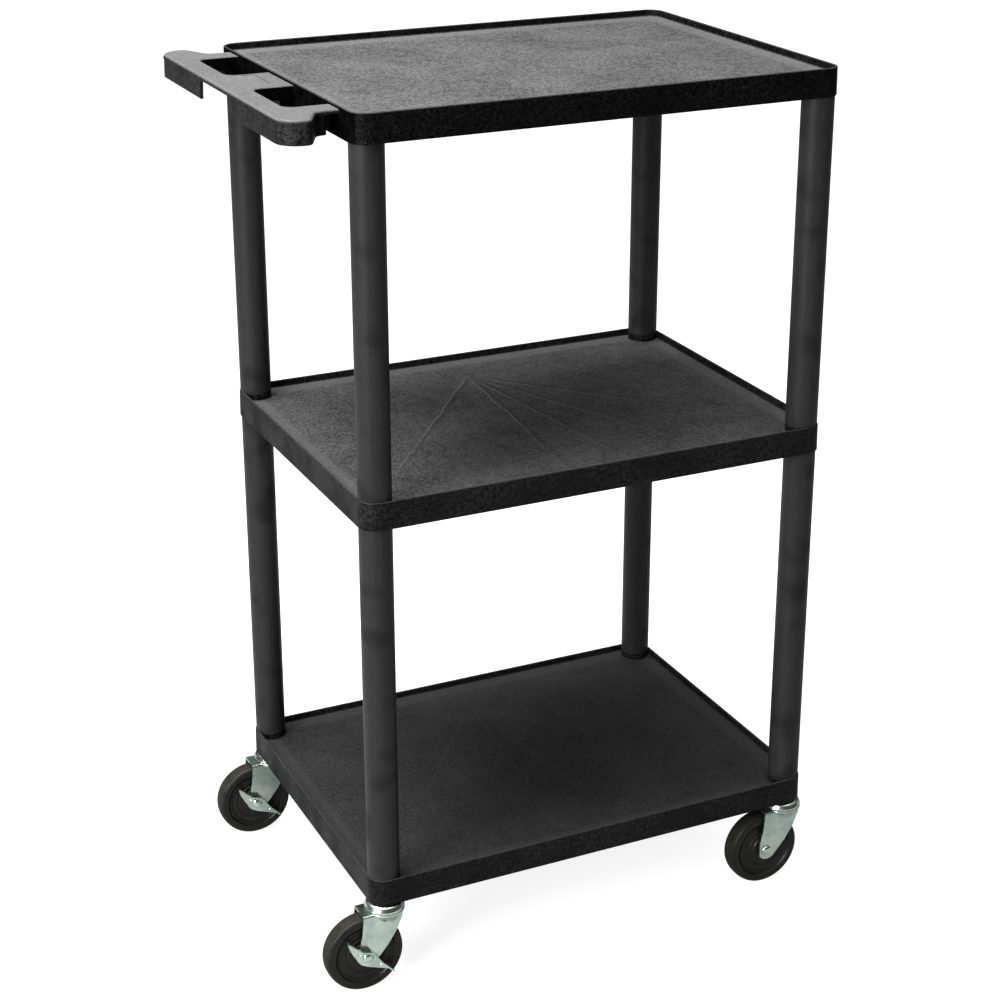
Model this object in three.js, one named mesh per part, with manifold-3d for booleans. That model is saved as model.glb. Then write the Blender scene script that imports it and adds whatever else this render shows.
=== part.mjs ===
// A rolling utility cart: three moulded shelves on eight round legs, with a push handle
// moulded into the top shelf and four swivel casters, two of which have brake levers.
//
// Units are millimetres and +Z is up. The origin is on the floor, in the middle of the
// overall footprint. X runs along the shelves, with the handle at the -X end, and the
// front of the cart faces -Y.

import * as THREE from 'three';
import { mergeVertices } from 'three/addons/utils/BufferGeometryUtils.js';
import Module from 'manifold-3d';

const wasm = await Module();
wasm.setup();

// ---------------------------------------------------------------- driving dimensions

// The gap left between pieces that touch.
const GAP = 0.3;

// Shelves. Each is measured up from its own lower edge.
const SHELF_LENGTH = 610;
const SHELF_DEPTH = 450;
const SHELF_HEIGHT = 34;
const SHELF_CORNER_RADIUS = 22;
const SHELF_WALL = 4;
const LIP_HEIGHT = 9.5;
const TRAY_THICKNESS = 4;
const RIB_DEPTH = 6;
const RIB_WIDTH = 4;
const LENGTHWISE_RIBS = 2;
const CROSSWISE_RIBS = 3;

// Heights of the shelves' lower edges above the floor.
const BOTTOM_SHELF_Z = 118;
const MIDDLE_SHELF_Z = 609;
const TOP_SHELF_Z = 1051;

// Legs, and the corner bosses that hold them.
const LEG_RADIUS = 19.7;
const LEG_BORE_RADIUS = 12.7;
const LEG_INSET = 21.5;
const SPIGOT_RADIUS = 15.7;
const SPIGOT_LENGTH = 15;
const BOSS_RADIUS = 19.7;
const SEAT_RADIUS = 16;
const SEAT_DEPTH = 15.6;

// Push handle, measured from the middle of the top shelf and up from its lower edge.
const HANDLE_REACH = 78;
const HANDLE_HALF_LENGTH = 219;
const HANDLE_CORNER_RADIUS = 26;
const HANDLE_TOP = 32;
const HANDLE_PLATE_THICKNESS = 5.5;
const HANDLE_WALL = 4;
const HANDLE_SKIRT_BOTTOM = 4.5;
const BAR_END_WIDTH = 34;
const BAR_WIDTH = 52;
const NECK_HALF_LENGTH = 181;
const SKIRT_ROOT_GAP = 13;
const SKIRT_ROOT_RADIUS = 10;
const NOTCH_HALF_LENGTH = 56;
const HAND_HOLE_NEAR = 41;
const HAND_HOLE_FAR = 151;
const HAND_HOLE_REACH = 49;
const HAND_HOLE_RADIUS = 13;
const HAND_HOLE_WALL = 3.5;
const HAND_HOLE_WALL_BOTTOM = 16;

// Casters, measured from the stem's axis and from the bottom shelf's lower edge.
const WHEEL_RADIUS = 50;
const TRAIL = 30;
const AXLE_DROP = BOTTOM_SHELF_Z - WHEEL_RADIUS;
const STEM_RADIUS = 5.5;
const STEM_TOP = 38;
const RIVET_RADIUS = 9;
const RIVET_HEIGHT = 3;
const SOCKET_RADIUS = 10.7;
const SOCKET_TOP = 41;
const SOCKET_FLANGE_RADIUS = 14;
const SOCKET_FLANGE_BOTTOM = -1.5;
const CUP_TOP_RADIUS = 21.5;
const CUP_SHEET = 2.4;
const CUP_SHOULDER_DROP = 6;
const CROWN_RADIUS = 24.8;
const CROWN_TOP = -12;
const CROWN_RIM_BOTTOM = -15.5;
const CROWN_BOTTOM = -20;
const SHEET = 2.6;
const FORK_HALF_WIDTH = 16;
const FORK_REACH = 33.5;
const FORK_TIP_RADIUS = 13.2;
const FORK_TIP_OFFSET = 1.5;
const NOSE_X = 13;
const BALL_RING_RADIUS = 15;
const BALL_RADIUS = 3.6;
const BALL_RING_Z = -8.1;

// Axle, wheel and brake. Sideways sizes are half widths from the middle of the wheel.
const AXLE_RADIUS = 4;
const AXLE_HOLE_RADIUS = 4.3;
const AXLE_HEAD_RADIUS = 6.8;
const AXLE_HEAD_HEIGHT = 3.6;
const AXLE_END = 22.5;
const NUT_RADIUS = 7.4;
const NUT_THICKNESS = 4.6;
const SLEEVE_RADIUS = 6.6;
const SLEEVE_HALF_LENGTH = 13.1;
const CORE_BORE_RADIUS = 6.9;
const HUB_RADIUS = 22;
const HUB_HALF_WIDTH = 11.6;
const RIM_HALF_WIDTH = 10;
const CORE_RADIUS = 36.3;
const TYRE_HALF_WIDTH = 12;
const BRAKE_DISC_RADIUS = 13;
const BRAKE_DISC_INNER_RADIUS = 7;
const LEVER_TILT = THREE.MathUtils.degToRad(39.5);
const LEVER_THICKNESS = 2.3;
const LEVER_FLANGE_REACH = CROWN_RADIUS;
const LEVER_FLANGE_THICKNESS = 1.8;

// How finely curves are divided.
const CORNER_SEGMENTS = 2;
const OUTLINE_SEGMENTS = 4;
const LEG_SEGMENTS = 16;
const SMALL_SEGMENTS = 12;
const WHEEL_SEGMENTS = 24;

// The footprint runs from the handle's outer face to the crowns of the casters at the
// other end, so the shelves' middle is off the origin by half the difference.
const STEM_X = SHELF_LENGTH / 2 - LEG_INSET;
const STEM_Y = SHELF_DEPTH / 2 - LEG_INSET;
const SHELF_CENTRE_X = (HANDLE_REACH + SHELF_LENGTH / 2 - (STEM_X + CROWN_RADIUS)) / 2;

const CORNERS = [
  { name: 'front_left', x: -STEM_X, y: -STEM_Y, braked: true },
  { name: 'front_right', x: STEM_X, y: -STEM_Y, braked: false },
  { name: 'back_left', x: -STEM_X, y: STEM_Y, braked: true },
  { name: 'back_right', x: STEM_X, y: STEM_Y, braked: false },
];

// ---------------------------------------------------------------- materials

function material(color, roughness, metalness) {
  return new THREE.MeshStandardMaterial({ color, roughness, metalness, flatShading: true });
}

const MATERIALS = {
  shelf: () => material(0x3a3a3c, 0.6, 0),
  leg: () => material(0x434345, 0.45, 0),
  nylon: () => material(0x1c1c1e, 0.5, 0),
  zinc: () => material(0xc3cfcd, 0.32, 0.9),
  steel: () => material(0x9ba0a3, 0.35, 0.9),
  rubber: () => material(0x2c2d2b, 0.7, 0),
  core: () => material(0x333432, 0.55, 0),
};

// ---------------------------------------------------------------- solids

// Keeps only positions, joins shared vertices, drops triangles with no area, and turns
// the faces to point out.
function closed(geometry) {
  geometry.deleteAttribute('normal');
  geometry.deleteAttribute('uv');
  const merged = mergeVertices(geometry, 1e-4);
  const position = merged.getAttribute('position');
  const index = merged.getIndex().array;
  const corners = [new THREE.Vector3(), new THREE.Vector3(), new THREE.Vector3()];
  const kept = [];
  let volume = 0;
  for (let i = 0; i < index.length; i += 3) {
    const [a, b, c] = [index[i], index[i + 1], index[i + 2]];
    if (a === b || b === c || c === a) continue;
    kept.push(a, b, c);
    corners[0].fromBufferAttribute(position, a);
    corners[1].fromBufferAttribute(position, b);
    corners[2].fromBufferAttribute(position, c);
    volume += corners[0].dot(corners[1].cross(corners[2]));
  }
  if (volume < 0) kept.reverse();
  merged.setIndex(kept);
  return merged;
}

function toSolid(geometry) {
  const tidy = closed(geometry);
  return new wasm.Manifold(new wasm.Mesh({
    numProp: 3,
    vertProperties: new Float32Array(tidy.getAttribute('position').array),
    triVerts: new Uint32Array(tidy.getIndex().array),
  }));
}

function toGeometry(solid) {
  const mesh = solid.getMesh();
  const geometry = new THREE.BufferGeometry();
  geometry.setAttribute('position', new THREE.BufferAttribute(mesh.vertProperties, 3));
  geometry.setIndex(new THREE.BufferAttribute(mesh.triVerts, 1));
  return geometry;
}

function join(solids) {
  return solids.reduce((whole, solid) => whole.add(solid));
}

function cut(solid, tools) {
  return tools.reduce((rest, tool) => rest.subtract(tool), solid);
}

// A box from its lowest to its highest corner.
function box(low, high) {
  const size = high.map((value, axis) => value - low[axis]);
  const geometry = new THREE.BoxGeometry(...size);
  geometry.translate(...low.map((value, axis) => value + size[axis] / 2));
  return toSolid(geometry);
}

// A flat outline in XY, made solid from one height to another.
function prism(shape, bottom, top) {
  const options = { depth: top - bottom, bevelEnabled: false, curveSegments: CORNER_SEGMENTS };
  const geometry = new THREE.ExtrudeGeometry(shape, options);
  geometry.translate(0, 0, bottom);
  return toSolid(geometry);
}

// A flat outline in XZ, made solid from one depth to another along Y.
function sidePrism(shape, front, back) {
  const options = { depth: back - front, bevelEnabled: false, curveSegments: OUTLINE_SEGMENTS };
  const geometry = new THREE.ExtrudeGeometry(shape, options);
  geometry.rotateX(Math.PI / 2);
  geometry.translate(0, back, 0);
  return toSolid(geometry);
}

// A turned profile of [radius, height] points about an axis along Y.
function turnedAlongY(profile, segments) {
  return closed(new THREE.LatheGeometry(profile.map(([r, h]) => new THREE.Vector2(r, h)), segments));
}

// A turned profile of [radius, height] points about an upright axis.
function turned(profile, segments) {
  const geometry = turnedAlongY(profile, segments);
  geometry.rotateX(Math.PI / 2);
  return geometry;
}

// Closes a profile that goes round a hole, so that it ends where it starts.
function ring(profile) {
  return [...profile, profile[0]];
}

function cylinder(x, y, radius, bottom, top, segments) {
  const geometry = turned([[0, bottom], [radius, bottom], [radius, top], [0, top]], segments);
  geometry.translate(x, y, 0);
  return toSolid(geometry);
}

// An outline through [x, y, radius] corners, given anticlockwise, each turned at its
// radius. With an inset, every edge moves in by that amount.
function outline(corners, inset = 0) {
  const points = corners.map(([x, y]) => new THREE.Vector2(x, y));
  const headings = points.map((point, i) => points[(i + 1) % points.length].clone().sub(point).normalize());
  const shape = new THREE.Shape();
  corners.forEach(([, , radius], i) => {
    const arriving = headings.at(i - 1);
    const leaving = headings[i];
    const turn = Math.atan2(arriving.cross(leaving), arriving.dot(leaving));
    const side = Math.sign(turn);
    const turnRadius = radius > 0 ? radius - side * inset : 0;
    const inward = new THREE.Vector2(-arriving.y, arriving.x);
    const tangent = points[i].clone()
      .addScaledVector(inward, inset)
      .addScaledVector(arriving, (inset - side * turnRadius) * Math.tan(turn / 2));
    if (i === 0) shape.moveTo(tangent.x, tangent.y);
    else shape.lineTo(tangent.x, tangent.y);
    if (turnRadius === 0) return;
    const centre = tangent.clone().addScaledVector(inward, side * turnRadius);
    const start = Math.atan2(tangent.y - centre.y, tangent.x - centre.x);
    shape.absarc(centre.x, centre.y, turnRadius, start, start + turn, side < 0);
  });
  return shape;
}

// A rectangle with rounded corners, from its lowest to its highest corner.
function roundedRectangle(x0, y0, x1, y1, radius) {
  return outline([[x0, y0, radius], [x1, y0, radius], [x1, y1, radius], [x0, y1, radius]]);
}

function polygon(points) {
  return new THREE.Shape(points.map(([x, y]) => new THREE.Vector2(x, y)));
}

// ---------------------------------------------------------------- the cart

const cart = new THREE.Group();

function addPiece(parent, name, geometry, look, position = [0, 0, 0]) {
  const mesh = new THREE.Mesh(geometry, MATERIALS[look]());
  mesh.name = name;
  mesh.position.set(...position);
  parent.add(mesh);
}

// ---------------------------------------------------------------- shelves

// A shelf's outline, drawn in by the same amount all round.
function shelfOutline(inset) {
  const x = SHELF_LENGTH / 2 - inset;
  const y = SHELF_DEPTH / 2 - inset;
  return roundedRectangle(-x, -y, x, y, SHELF_CORNER_RADIUS - inset);
}

// Evenly spaced ribs under the tray, running one way.
function ribs(count, span, makeRib) {
  return Array.from({ length: count }, (_, i) => makeRib((i + 1) * span / (count + 1) - span / 2));
}

// The tray with its lip above and its skirt and ribs below, without corner bosses.
function trayShell() {
  const trayTop = SHELF_HEIGHT - LIP_HEIGHT;
  const trayBottom = trayTop - TRAY_THICKNESS;
  const ribBottom = trayBottom - RIB_DEPTH;
  const x = SHELF_LENGTH / 2 - SHELF_WALL / 2;
  const y = SHELF_DEPTH / 2 - SHELF_WALL / 2;
  const half = RIB_WIDTH / 2;
  const shell = cut(prism(shelfOutline(0), 0, SHELF_HEIGHT), [
    prism(shelfOutline(SHELF_WALL), trayTop, SHELF_HEIGHT + 1),
    prism(shelfOutline(SHELF_WALL), -1, trayBottom),
  ]);
  const lengthwise = ribs(LENGTHWISE_RIBS, SHELF_DEPTH,
    (at) => box([-x, at - half, ribBottom], [x, at + half, trayBottom]));
  const crosswise = ribs(CROSSWISE_RIBS, SHELF_LENGTH,
    (at) => box([at - half, -y, ribBottom], [at + half, y, trayBottom]));
  return join([shell, ...lengthwise, ...crosswise]);
}

function atCorners(radius, bottom, top) {
  return CORNERS.map(({ x, y }) => cylinder(x, y, radius, bottom, top, LEG_SEGMENTS));
}

const SEAT_ABOVE = () => atCorners(SEAT_RADIUS, SHELF_HEIGHT - SEAT_DEPTH, SHELF_HEIGHT + 1);
const SEAT_BELOW = () => atCorners(SEAT_RADIUS, -1, SEAT_DEPTH);

function bottomShelf() {
  const bosses = atCorners(BOSS_RADIUS, 0, SHELF_HEIGHT);
  const socketHoles = atCorners(SOCKET_RADIUS + GAP, -1, SHELF_HEIGHT - SEAT_DEPTH + 1);
  return cut(join([trayShell(), ...bosses]), [...SEAT_ABOVE(), ...socketHoles]);
}

function middleShelf() {
  const bosses = atCorners(BOSS_RADIUS, 0, SHELF_HEIGHT);
  return cut(join([trayShell(), ...bosses]), [...SEAT_ABOVE(), ...SEAT_BELOW()]);
}

function topShelf() {
  const bosses = atCorners(BOSS_RADIUS, 0, SHELF_HEIGHT - LIP_HEIGHT);
  return cut(join([trayShell(), ...bosses, handle()]), SEAT_BELOW());
}

// ---------------------------------------------------------------- push handle

// The plan of the handle: a bar across the end with rounded outer corners, and a
// narrower neck that carries it back towards the shelf, as far as root.
function handlePlan(root, rootRadius, inset = 0) {
  const outer = -SHELF_LENGTH / 2 - HANDLE_REACH;
  const halfOutline = [
    [root, NECK_HALF_LENGTH, rootRadius],
    [outer + BAR_WIDTH, NECK_HALF_LENGTH, 0],
    [outer + BAR_END_WIDTH, HANDLE_HALF_LENGTH, 0],
    [outer, HANDLE_HALF_LENGTH, HANDLE_CORNER_RADIUS],
  ];
  const otherHalf = halfOutline.map(([x, y, radius]) => [x, -y, radius]).reverse();
  return outline([...halfOutline, ...otherHalf], inset);
}

// One hand hole, which opens against the shelf's end wall.
function handHole(side, inset, bottom, top) {
  const end = -SHELF_LENGTH / 2;
  const [y0, y1] = side > 0 ? [HAND_HOLE_NEAR, HAND_HOLE_FAR] : [-HAND_HOLE_FAR, -HAND_HOLE_NEAR];
  const x0 = end - HAND_HOLE_REACH + inset;
  const radius = HAND_HOLE_RADIUS - inset;
  const reach = end + HAND_HOLE_RADIUS * 2;
  const outline = roundedRectangle(x0, y0 + inset, reach, y1 - inset, radius);
  const limit = box([x0 - 1, y0, bottom - 1], [end, y1, top + 1]);
  return prism(outline, bottom, top).intersect(limit);
}

// A plate that runs into the shelf's end wall, over a skirt that stops short of it. The
// skirt is open below, and notched along the middle of its outer side.
function handle() {
  const plateBottom = HANDLE_TOP - HANDLE_PLATE_THICKNESS;
  const end = -SHELF_LENGTH / 2;
  const outer = end - HANDLE_REACH;
  const skirtRoot = end - SKIRT_ROOT_GAP;
  const plate = prism(handlePlan(end + SHELF_WALL / 2, 0), plateBottom, HANDLE_TOP);
  const skirt = cut(prism(handlePlan(skirtRoot, SKIRT_ROOT_RADIUS), HANDLE_SKIRT_BOTTOM, HANDLE_TOP - 1), [
    prism(handlePlan(skirtRoot, SKIRT_ROOT_RADIUS, HANDLE_WALL), HANDLE_SKIRT_BOTTOM - 1, plateBottom),
    box([outer - 1, -NOTCH_HALF_LENGTH, HANDLE_SKIRT_BOTTOM - 1],
      [outer + HANDLE_WALL + 1, NOTCH_HALF_LENGTH, plateBottom]),
  ]);
  const collars = [-1, 1].map((side) => handHole(side, -HAND_HOLE_WALL, HAND_HOLE_WALL_BOTTOM, plateBottom));
  const holes = [-1, 1].map((side) => handHole(side, 0, HANDLE_SKIRT_BOTTOM - 2, HANDLE_TOP + 1));
  return cut(join([plate, skirt, ...collars]), holes);
}

// ---------------------------------------------------------------- legs

// A tube that stands between two shelves, with a narrower spigot at each end that
// reaches into the boss above or below.
function leg(length) {
  const top = length + SPIGOT_LENGTH;
  return turned(ring([
    [LEG_BORE_RADIUS, -SPIGOT_LENGTH],
    [SPIGOT_RADIUS, -SPIGOT_LENGTH],
    [SPIGOT_RADIUS, 0],
    [LEG_RADIUS, 0],
    [LEG_RADIUS, length],
    [SPIGOT_RADIUS, length],
    [SPIGOT_RADIUS, top],
    [LEG_BORE_RADIUS, top],
  ]), LEG_SEGMENTS);
}

function addLegs(level, lowerShelfZ, upperShelfZ) {
  const foot = lowerShelfZ + SHELF_HEIGHT + GAP;
  const length = upperShelfZ - GAP - foot;
  for (const { name, x, y } of CORNERS) {
    addPiece(cart, `leg_${level}_${name}`, leg(length), 'leg', [SHELF_CENTRE_X + x, y, foot]);
  }
}

// ---------------------------------------------------------------- caster head

function stemSocket() {
  return turned([
    [0, SOCKET_TOP],
    [SOCKET_RADIUS, SOCKET_TOP],
    [SOCKET_RADIUS, -GAP],
    [SOCKET_FLANGE_RADIUS, -GAP],
    [SOCKET_FLANGE_RADIUS, SOCKET_FLANGE_BOTTOM],
    [STEM_RADIUS + GAP, SOCKET_FLANGE_BOTTOM],
    [STEM_RADIUS + GAP, STEM_TOP + GAP],
    [0, STEM_TOP + GAP],
  ], SMALL_SEGMENTS);
}

// The stem goes up into its socket, and its riveted head is under the crown.
function stem() {
  const headTop = CROWN_TOP - SHEET - GAP;
  return turned([
    [0, STEM_TOP],
    [STEM_RADIUS, STEM_TOP],
    [STEM_RADIUS, headTop],
    [RIVET_RADIUS, headTop],
    [RIVET_RADIUS - 1, headTop - RIVET_HEIGHT],
    [0, headTop - RIVET_HEIGHT],
  ], SMALL_SEGMENTS);
}

function racewayCup() {
  const top = SOCKET_FLANGE_BOTTOM - GAP;
  const rim = CROWN_TOP + GAP + 0.2;
  return turned(ring([
    [STEM_RADIUS + GAP, top],
    [CUP_TOP_RADIUS, top],
    [CROWN_RADIUS, top - CUP_SHOULDER_DROP],
    [CROWN_RADIUS, rim],
    [CROWN_RADIUS - CUP_SHEET, rim],
    [CUP_TOP_RADIUS - 1, top - CUP_SHEET],
    [STEM_RADIUS + GAP, top - CUP_SHEET],
  ]), LEG_SEGMENTS);
}

function ballRing() {
  const geometry = new THREE.TorusGeometry(BALL_RING_RADIUS, BALL_RADIUS, 6, SMALL_SEGMENTS);
  geometry.translate(0, 0, BALL_RING_Z);
  return closed(geometry);
}

// ---------------------------------------------------------------- fork

// The side of a fork leg, in XZ: square at the trailing end, sloping back along the
// leading edge, and rounded about the axle.
function forkSide() {
  const tipX = -TRAIL + FORK_TIP_OFFSET;
  const shape = new THREE.Shape();
  shape.moveTo(-FORK_REACH, CROWN_TOP);
  shape.lineTo(-FORK_REACH - 3, -41);
  shape.lineTo(tipX - FORK_TIP_RADIUS, -AXLE_DROP + 2);
  shape.absarc(tipX, -AXLE_DROP, FORK_TIP_RADIUS, Math.PI * 0.95, Math.PI * 1.78, false);
  shape.lineTo(-2, -58);
  shape.lineTo(8.5, -42.5);
  shape.lineTo(18, -22);
  shape.lineTo(18, CROWN_TOP);
  return shape;
}

// The round top of the fork, with sloping shoulders.
function crown() {
  return toSolid(turned([
    [0, CROWN_TOP],
    [CROWN_RADIUS, CROWN_TOP],
    [CROWN_RADIUS, CROWN_RIM_BOTTOM],
    [CROWN_RADIUS - 5, CROWN_BOTTOM],
    [0, CROWN_BOTTOM],
  ], LEG_SEGMENTS));
}

// One bent sheet: the crown and the plate over the wheel, with a leg down each side.
// The channel between the legs is open at the trailing end and closed by the nose.
function fork() {
  const inner = FORK_HALF_WIDTH - SHEET;
  const under = CROWN_TOP - SHEET;
  const plate = box([-FORK_REACH, -FORK_HALF_WIDTH, under], [0, FORK_HALF_WIDTH, CROWN_TOP]);
  const sides = [
    sidePrism(forkSide(), -FORK_HALF_WIDTH, -inner),
    sidePrism(forkSide(), inner, FORK_HALF_WIDTH),
  ];
  const channel = box([-FORK_REACH - 20, -inner, -200], [NOSE_X, inner, under]);
  const stemHole = cylinder(0, 0, STEM_RADIUS + GAP, -40, 0, SMALL_SEGMENTS);
  const axleHole = turnedAlongY(
    [[0, -30], [AXLE_HOLE_RADIUS, -30], [AXLE_HOLE_RADIUS, 30], [0, 30]], SMALL_SEGMENTS);
  axleHole.translate(-TRAIL, 0, -AXLE_DROP);
  return cut(join([crown(), plate, ...sides]), [channel, stemHole, toSolid(axleHole)]);
}

// ---------------------------------------------------------------- axle and wheel

// The axle's domed head bears on the fork, or on the brake lever where there is one.
function axleBolt(braked) {
  const seat = -(FORK_HALF_WIDTH + GAP + (braked ? LEVER_THICKNESS + GAP : 0));
  return turnedAlongY([
    [0, seat - AXLE_HEAD_HEIGHT],
    [AXLE_HEAD_RADIUS * 0.55, seat - AXLE_HEAD_HEIGHT * 0.85],
    [AXLE_HEAD_RADIUS * 0.9, seat - AXLE_HEAD_HEIGHT * 0.4],
    [AXLE_HEAD_RADIUS, seat],
    [AXLE_RADIUS, seat],
    [AXLE_RADIUS, AXLE_END],
    [0, AXLE_END],
  ], SMALL_SEGMENTS);
}

function axleNut() {
  const inside = FORK_HALF_WIDTH + GAP;
  const hex = turnedAlongY([
    [0, inside],
    [NUT_RADIUS, inside],
    [NUT_RADIUS, inside + NUT_THICKNESS],
    [0, inside + NUT_THICKNESS],
  ], 6);
  const hole = turnedAlongY([
    [0, inside - 1],
    [AXLE_HOLE_RADIUS, inside - 1],
    [AXLE_HOLE_RADIUS, inside + NUT_THICKNESS + 1],
    [0, inside + NUT_THICKNESS + 1],
  ], SMALL_SEGMENTS);
  return toGeometry(cut(toSolid(hex), [toSolid(hole)]));
}

function tube(inner, outer, from, to, segments) {
  return turnedAlongY(ring([[inner, from], [outer, from], [outer, to], [inner, to]]), segments);
}

// The same profile on both faces of the wheel, given for one face from the bore out.
function bothFaces(profile) {
  const otherFace = profile.map(([radius, half]) => [radius, -half]);
  return ring([...otherFace, ...profile.slice().reverse()]);
}

function tyre() {
  return turnedAlongY(bothFaces([
    [CORE_RADIUS + GAP, TYRE_HALF_WIDTH - 1.5],
    [WHEEL_RADIUS - 3, TYRE_HALF_WIDTH],
    [WHEEL_RADIUS, TYRE_HALF_WIDTH - 3],
  ]), WHEEL_SEGMENTS);
}

function wheelCore() {
  return turnedAlongY(bothFaces([
    [CORE_BORE_RADIUS, HUB_HALF_WIDTH],
    [HUB_RADIUS, HUB_HALF_WIDTH],
    [CORE_RADIUS, RIM_HALF_WIDTH],
  ]), WHEEL_SEGMENTS);
}

// ---------------------------------------------------------------- brake

// The lever lies flat on the fork's leg. It is drawn level, along X and Z from the
// axle, and then tipped down towards the leading edge.
function brakeLever() {
  const face = -(FORK_HALF_WIDTH + GAP);
  const blade = polygon([
    [-38, 4.2], [-28, -2.2], [-18, -6.6], [-2, -11.8], [8, -10], [28, -3], [40, 1],
    [17, 4.2], [4, 7.7], [-3, 8.8], [-12, 5.4], [-16, 3.8],
  ]);
  const edge = [[40, 1.8], [17, 5], [4, 8.5], [-3, 9.6], [-12, 6.2], [-16, 4.6], [-38, 6.2]];
  const underside = edge.map(([x, z]) => [x, z - LEVER_FLANGE_THICKNESS]).reverse();
  const hole = turnedAlongY(
    [[0, -40], [AXLE_HOLE_RADIUS, -40], [AXLE_HOLE_RADIUS, 0], [0, 0]], SMALL_SEGMENTS);
  const lever = cut(join([
    sidePrism(blade, face - LEVER_THICKNESS, face),
    sidePrism(polygon([...edge, ...underside]), -LEVER_FLANGE_REACH, face),
  ]), [toSolid(hole)]);
  const geometry = toGeometry(lever);
  geometry.rotateY(LEVER_TILT);
  return geometry;
}

function brakeDisc() {
  const outside = -(FORK_HALF_WIDTH - SHEET - GAP);
  return tube(BRAKE_DISC_INNER_RADIUS, BRAKE_DISC_RADIUS, outside, -(HUB_HALF_WIDTH + GAP), SMALL_SEGMENTS);
}

// ---------------------------------------------------------------- putting it together

addPiece(cart, 'bottom_shelf', toGeometry(bottomShelf()), 'shelf', [SHELF_CENTRE_X, 0, BOTTOM_SHELF_Z]);
addPiece(cart, 'middle_shelf', toGeometry(middleShelf()), 'shelf', [SHELF_CENTRE_X, 0, MIDDLE_SHELF_Z]);
addPiece(cart, 'top_shelf', toGeometry(topShelf()), 'shelf', [SHELF_CENTRE_X, 0, TOP_SHELF_Z]);
addLegs('lower', BOTTOM_SHELF_Z, MIDDLE_SHELF_Z);
addLegs('upper', MIDDLE_SHELF_Z, TOP_SHELF_Z);

// One caster, about its stem's axis at the height of the bottom shelf's lower edge.
function addCaster({ name, x, y, braked }) {
  const caster = new THREE.Group();
  caster.position.set(SHELF_CENTRE_X + x, y, BOTTOM_SHELF_Z);
  cart.add(caster);
  const axle = new THREE.Group();
  axle.position.set(-TRAIL, 0, -AXLE_DROP);
  caster.add(axle);

  addPiece(caster, `stem_socket_${name}`, stemSocket(), 'nylon');
  addPiece(caster, `stem_${name}`, stem(), 'steel');
  addPiece(caster, `raceway_cup_${name}`, racewayCup(), 'zinc');
  addPiece(caster, `ball_ring_${name}`, ballRing(), 'steel');
  addPiece(caster, `fork_${name}`, toGeometry(fork()), 'zinc');
  addPiece(axle, `axle_bolt_${name}`, axleBolt(braked), 'zinc');
  addPiece(axle, `axle_nut_${name}`, axleNut(), 'zinc');
  addPiece(axle, `axle_sleeve_${name}`,
    tube(AXLE_HOLE_RADIUS, SLEEVE_RADIUS, -SLEEVE_HALF_LENGTH, SLEEVE_HALF_LENGTH, SMALL_SEGMENTS), 'steel');
  addPiece(axle, `wheel_core_${name}`, wheelCore(), 'core');
  addPiece(axle, `tyre_${name}`, tyre(), 'rubber');
  if (braked) {
    addPiece(axle, `brake_lever_${name}`, brakeLever(), 'zinc');
    addPiece(axle, `brake_disc_${name}`, brakeDisc(), 'steel');
  }
}

CORNERS.forEach(addCaster);

export default cart;
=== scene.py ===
# The looks of a rolling utility cart: three moulded shelves on round legs, with a push
# handle and four swivel casters. Sizes in this script are millimetres, unless a name says
# otherwise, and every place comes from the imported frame.

import math

import bmesh
import bpy
from mathutils import Matrix, Vector


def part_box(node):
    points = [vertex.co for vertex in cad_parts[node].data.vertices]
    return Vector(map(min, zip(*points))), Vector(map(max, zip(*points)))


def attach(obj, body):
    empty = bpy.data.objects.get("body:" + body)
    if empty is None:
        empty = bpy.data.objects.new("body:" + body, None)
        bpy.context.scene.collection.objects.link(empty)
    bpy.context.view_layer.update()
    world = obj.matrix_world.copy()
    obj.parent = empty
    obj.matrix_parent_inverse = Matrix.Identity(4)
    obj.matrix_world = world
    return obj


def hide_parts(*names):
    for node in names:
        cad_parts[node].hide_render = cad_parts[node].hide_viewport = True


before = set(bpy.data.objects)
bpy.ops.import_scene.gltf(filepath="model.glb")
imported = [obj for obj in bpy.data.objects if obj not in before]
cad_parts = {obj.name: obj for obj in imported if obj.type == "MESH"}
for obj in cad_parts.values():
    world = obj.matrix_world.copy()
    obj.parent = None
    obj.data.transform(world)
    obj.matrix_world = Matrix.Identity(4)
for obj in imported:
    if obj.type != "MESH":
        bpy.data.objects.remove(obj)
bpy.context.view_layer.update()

MM = 0.001

# ---------------------------------------------------------------- places from the frame


def box_mm(node):
    """The lowest and highest corner of a CAD node, in millimetres."""
    low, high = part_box(node)
    return low / MM, high / MM


def middle_mm(node):
    low, high = box_mm(node)
    return (low + high) / 2


CORNERS = ["front_left", "front_right", "back_left", "back_right"]
BRAKED = ["front_left", "back_left"]

SHELF_LOW, SHELF_HIGH = box_mm("bottom_shelf")
SHELF_MIDDLE = (SHELF_LOW + SHELF_HIGH) / 2
SHELF_HALF_X = (SHELF_HIGH.x - SHELF_LOW.x) / 2
SHELF_HALF_Y = (SHELF_HIGH.y - SHELF_LOW.y) / 2
SHELF_HEIGHT = SHELF_HIGH.z - SHELF_LOW.z
SHELF_END_X = -SHELF_HALF_X

# ---------------------------------------------------------------- details of the shelves

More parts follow.
